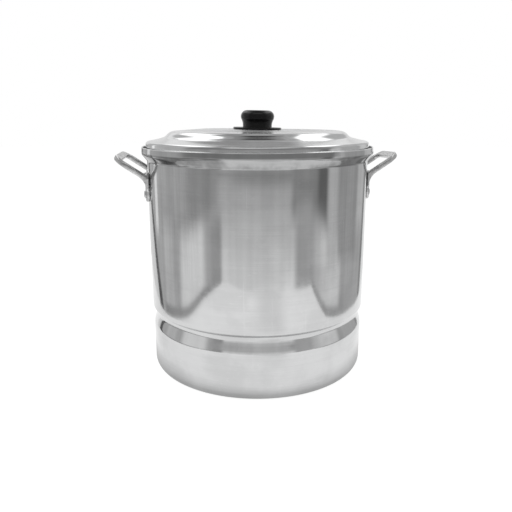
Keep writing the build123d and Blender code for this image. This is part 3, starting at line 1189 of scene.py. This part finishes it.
# %% Give every piece its finish
rivet_names = [
    f"rivets_{place}" for place in ("right_front", "right_rear", "left_front", "left_rear")
]
finishes = (
    (satin_aluminium, ["spun_body"]),
    (polished_aluminium, ["spun_lid"]),
    (black_phenolic, ["moulded_knob", "guard_plate"]),
    (cast_aluminium, ["cast_handle_right", "cast_handle_left"]),
    (rivet_aluminium, rivet_names),
    (mill_aluminium, ["steamer_rack"]),
    (insert_brass, ["knob_insert"]),
    (plated_steel, ["knob_washer", "knob_screw"]),
)
for material, names in finishes:
    for name in names:
        mesh = bpy.data.objects[name].data
        mesh.materials.clear()
        mesh.materials.append(material)
    print(f"{material.name}: {', '.join(names)}")

# %% [markdown]
# ## The studio
#
# Bare metal shows its surroundings more than itself, so the studio is part of the look.
# The pot stands on a pale floor in front of a white backdrop, inside a photographer's
# light tent: a screen of frosted cloths, darker towards the camera and with dark gaps
# where two cloths end, a bright soft box high on either side, and a roof with a dark hole
# for its pole. The tent is left out of the camera's view and of the soft light, and only
# the metal sees it.
#
# The floor looks white to the camera. To the metal it is a little darker, and painted shade
# makes it darker still close round the pot, which shades it, and in a wedge of painted
# shadow towards the camera.


# %% A stage object with a plain emission
def empty_material(name):
    """A material whose node tree is empty."""
    material = bpy.data.materials.new(name)
    material.use_nodes = True
    material.node_tree.nodes.clear()
    return material, material.node_tree


def glowing(strength):
    """A white light of the given strength, as a shader."""
    inputs = {"Color": (1, 1, 1, 1), "Strength": strength}
    return Wire(add_node(strength.tree, "ShaderNodeEmission", inputs).outputs[0])


def add_stage(mesh, material):
    """Adds a floor, backdrop or screen that isn't part of the pot."""
    mesh.shade_smooth()
    thing = link_object(mesh.name, mesh)
    mesh.materials.append(material)
    return thing


# %% The floor
floor_radius = 6.0
floor_glow = 0.89
mirrored_share = 0.94
pot_shadow = (0.145, 0.20, 0.45, 1.0)
wedge_bearing = (0.32, 0.06)
wedge_radius = (0.22, 0.46)
wedge_depth = 0.24
wedge_slant = 0.1

floor_material, tree = empty_material("pale_floor")
place, (x, y, z) = object_place(tree)
paper_grey = noise(place, 8.0, 2.0).remap(0.3, 0.7, 0.24, 0.26)
paper = add_node(tree, "ShaderNodeBsdfDiffuse", {"Color": grey_colour(paper_grey)})
radius = from_axis(x, y)
# A wedge of painted shadow on the floor towards the camera, which only the metal sees.
off_camera = abs((y * wedge_slant + x).math("ARCTAN2", y * -1.0))
shadow_wedge = off_camera.remap(*wedge_bearing) * radius.remap(*wedge_radius)
shade = radius.remap(*pot_shadow) * (1.0 - shadow_wedge * wedge_depth)
rays = wires(tree.nodes.new("ShaderNodeLightPath"))
mirrored = rays["Is Glossy Ray"].math("MAXIMUM", rays["Is Transmission Ray"])
seen = rays["Is Camera Ray"].math("MAXIMUM", mirrored * (shade * mirrored_share))
surfaces = {0: Wire(paper.outputs[0]), 1: glowing(seen * floor_glow)}
both = add_node(tree, "ShaderNodeAddShader", surfaces)
add_node(tree, "ShaderNodeOutputMaterial", {"Surface": Wire(both.outputs[0])})

rings = np.array([0.0, 0.1, 0.2, 0.4, 0.8, 1.6, 3.0, floor_radius])
floor_profile = np.stack([rings, 0 * rings], axis=1)
add_stage(grid_mesh("floor", revolve(floor_profile, 96), wrap_rows=True), floor_material)

# %% [markdown]
# ### The light tent
#
# The tent's plan is a loop of straight cloths with fourteen corners, and its roof closes
# over them. The tones are laid one over the other as panels, each between two bearings
# and two heights, and a few of them lean. A bearing is counted in degrees from the
# camera's side, positive to the right, and from the tent's far side where the panel lies
# straight behind the pot.

# %% The light tent's form
tent_height = 1.6
left_plan = [(-0.35, 0.62), (-0.36, 0.07), (-0.375, -0.15), (-0.43, -0.30), (-0.43, -0.42)]
front_plan = [(-0.41, -0.54), (-0.36, -0.58), (0.22, -0.58), (0.33, -0.51), (0.43, -0.45)]
right_plan = [(0.345, -0.22), (0.37, -0.10), (0.385, 0.0), (0.35, 0.62)]
footprint = np.array(left_plan + front_plan + right_plan)
shrink = np.array([1.0, 1.0, 0.5, 0.0])
rise = np.array([0.0, tent_height, tent_height, tent_height])
tent_walls = footprint[:, None] * shrink[:, None]
tent_rises = np.broadcast_to(rise[:, None], (len(footprint), len(rise), 1))
tent_grid = np.concatenate([tent_walls, tent_rises], axis=2)

# %% The light tent's cloth
tent_material, tree = empty_material("light_tent")
_, (x, y, z) = object_place(tree)
bearing = x.math("ARCTAN2", y * -1.0) * (180 / pi)
behind = 180.0 - abs(bearing)
above_roof = 2.0


def patch(value, low, high, soft):
    """1 between the two limits, falling smoothly to 0 over the soft margin outside them."""
    half = (high - low) / 2
    return abs(value - (low + high) / 2).remap(half + soft, half)


def lay_panel(tone, value, along, span, heights, soft, fade, lean=0.0):
    """Lays a panel over the tones below it, over a span of bearings in degrees and between
    two heights, with soft edges of so many degrees and metres. lean moves its bearing by
    so many degrees for each metre up."""
    straight = z * -lean + along if lean else along
    mask = patch(straight, *span, soft) * patch(z, *heights, fade)
    return mask * (value - tone) + tone


tone = 0.50
for panel in (
    (z.remap(0.0, 0.21, 0.90, 0.54), bearing, (-36, 29), (-1.0, 0.3), 8, 0.05),
    (0.31, bearing, (-38, 32), (0.24, 0.50), 8, 0.035),
    (0.42, bearing, (-45, -40), (-0.1, 0.12), 4, 0.05),
    (0.36, bearing, (-63, -45), (0.19, 0.50), 8, 0.05),
    (0.33, bearing, (-51, -48), (0.20, 0.50), 4, 0.05),
    (0.33, bearing, (27, 57), (0.18, 0.50), 6, 0.06),
    (0.17, bearing, (50, 54), (0.21, 0.50), 4, 0.06),
    (0.50, bearing, (31, 41), (-0.1, 0.15), 6, 0.06),
    (0.84, bearing, (-72, -56), (0.02, 0.12), 6, 0.06),
    (0.66, bearing, (48, 53), (-0.1, 0.13), 5, 0.06),
    (0.80, bearing, (55, 69), (0.02, 0.12), 6, 0.06),
    (0.62, bearing, (98, 112), (0.18, 0.40), 4, 0.05),
    (0.62, bearing, (-95, -86), (0.0, 0.15), 5, 0.05),
    (0.60, bearing, (58, 64), (0.12, 0.40), 4, 0.05),
    (0.42, bearing, (70, 95), (0.13, 0.40), 5, 0.05),
    (1.00, bearing, (-114, -110), (0.17, 0.36), 3, 0.05),
    (0.33, bearing, (-96, -46), (-0.1, 0.014), 6, 0.012),
    (0.47, bearing, (46, 112), (-0.1, 0.012), 8, 0.014),
    (0.80, bearing, (-190, -110), (-0.1, 0.32), 2, 0.05, -128),
    (0.12, bearing, (-111.5, -104.5), (-0.1, 0.32), 2, 0.05, -128),
    (0.88, bearing, (118, 190), (-0.1, 0.32), 4, 0.05, 38),
    (0.30, bearing, (110.5, 115.5), (-0.1, 0.32), 3, 0.05, 38),
    (0.23, bearing, (-60, 55), (0.34, above_roof), 12, 0.06),
    (0.85, bearing, (-45, 40), (1.05, 1.60), 12, 0.20),
    (0.42, behind, (-10, 120), (1.28, 1.5), 10, 0.10),
    (0.75, behind, (-10, 40), (0.34, 0.45), 6, 0.04),
    (0.85, behind, (-10, 36), (0.50, 0.60), 6, 0.04),
    (0.32, behind, (-10, 15), (0.66, 1.20), 5, 0.04),
    (1.65, bearing, (-160, -90), (0.73, 1.08), 9, 0.12),
    (1.65, bearing, (86, 143), (0.73, 1.03), 16, 0.11),
):
    tone = lay_panel(tone, *panel)

# %% The tent's roof, with the dark hole that its pole goes through, and the cloth's folds
pole_x, pole_y = 0.03, 0.02
roof_tone = from_axis(x - pole_x, y - pole_y).remap(0.16, 0.34, 0.03, 0.30)
roof_tone = roof_tone + y.remap(-0.28, -0.42, 0.0, 0.55)
tone = z.remap(1.52, 1.58) * (roof_tone - tone) + tone
folds = noise(join_parts(bearing, z * 12.0), 0.14, 2.0, 0.5)
tone = tone * folds.remap(0.25, 0.75, 0.94, 1.06)
add_node(tree, "ShaderNodeOutputMaterial", {"Surface": glowing(tone)})
tent = add_stage(grid_mesh("tent", tent_grid, wrap_rows=True), tent_material)
tent.visible_camera = False
tent.visible_diffuse = False
tent.visible_shadow = False

# %% [markdown]
# ### Lamps, world and camera
#
# Two large soft lamps light what isn't metal, mainly the floor and the knob. The world is
# white where the camera, or a mirror, looks straight at it, and a plain grey as light.
#
# The camera's place and lens were worked out from the photograph's ellipses: the rim, the
# groove and the base are circles, and their heights and widths in the picture fix the
# distance and height of the lens.


# %% Lamps and world
pot_middle = Vector((0, 0, 0.2))
room_light = 0.5


def add_lamp(name, place, size, power):
    """A square soft lamp at a place, turned to the middle of the pot."""
    light = bpy.data.lights.new(name, "AREA")
    light.size = size
    light.energy = power
    lamp = link_object(name, light)
    lamp.location = place
    towards = pot_middle - Vector(place)
    lamp.rotation_euler = towards.to_track_quat("-Z", "Y").to_euler()
    lamp.visible_glossy = False


add_lamp("key", (-1.3, -1.2, 1.9), 1.4, 22.0)
add_lamp("fill", (1.5, -0.9, 1.7), 1.4, 16.0)
world = bpy.data.worlds.new("white_room")
bpy.context.scene.world = world
world.use_nodes = True
tree = world.node_tree
tree.nodes.clear()
rays = wires(tree.nodes.new("ShaderNodeLightPath"))
seen = rays["Is Camera Ray"].math("MAXIMUM", rays["Is Glossy Ray"])
seen = seen.math("MAXIMUM", rays["Is Transmission Ray"])
white = {"Color": (1, 1, 1, 1), "Strength": seen * (1 - room_light) + room_light}
backdrop = add_node(tree, "ShaderNodeBackground", white)
add_node(tree, "ShaderNodeOutputWorld", {"Surface": Wire(backdrop.outputs[0])})

# %% Camera
camera_bearing = radians(5.7)
camera_distance = 0.782
camera_height = 0.3501
camera_tilt = radians(14.29)
view = bpy.data.cameras.new("photo_view")
view.sensor_width = 36.0
view.lens = 39.23
view.shift_x = -0.0025
view.shift_y = 0.0005
view.clip_start = 0.01
camera = link_object("photo_view", view)
towards_pot = np.array([sin(camera_bearing), cos(camera_bearing)])
camera.location = (*-camera_distance * towards_pot, camera_height)
camera.rotation_euler = (pi / 2 - camera_tilt, 0, -camera_bearing)
bpy.context.scene.camera = camera
bpy.context.scene.view_settings.view_transform = "Standard"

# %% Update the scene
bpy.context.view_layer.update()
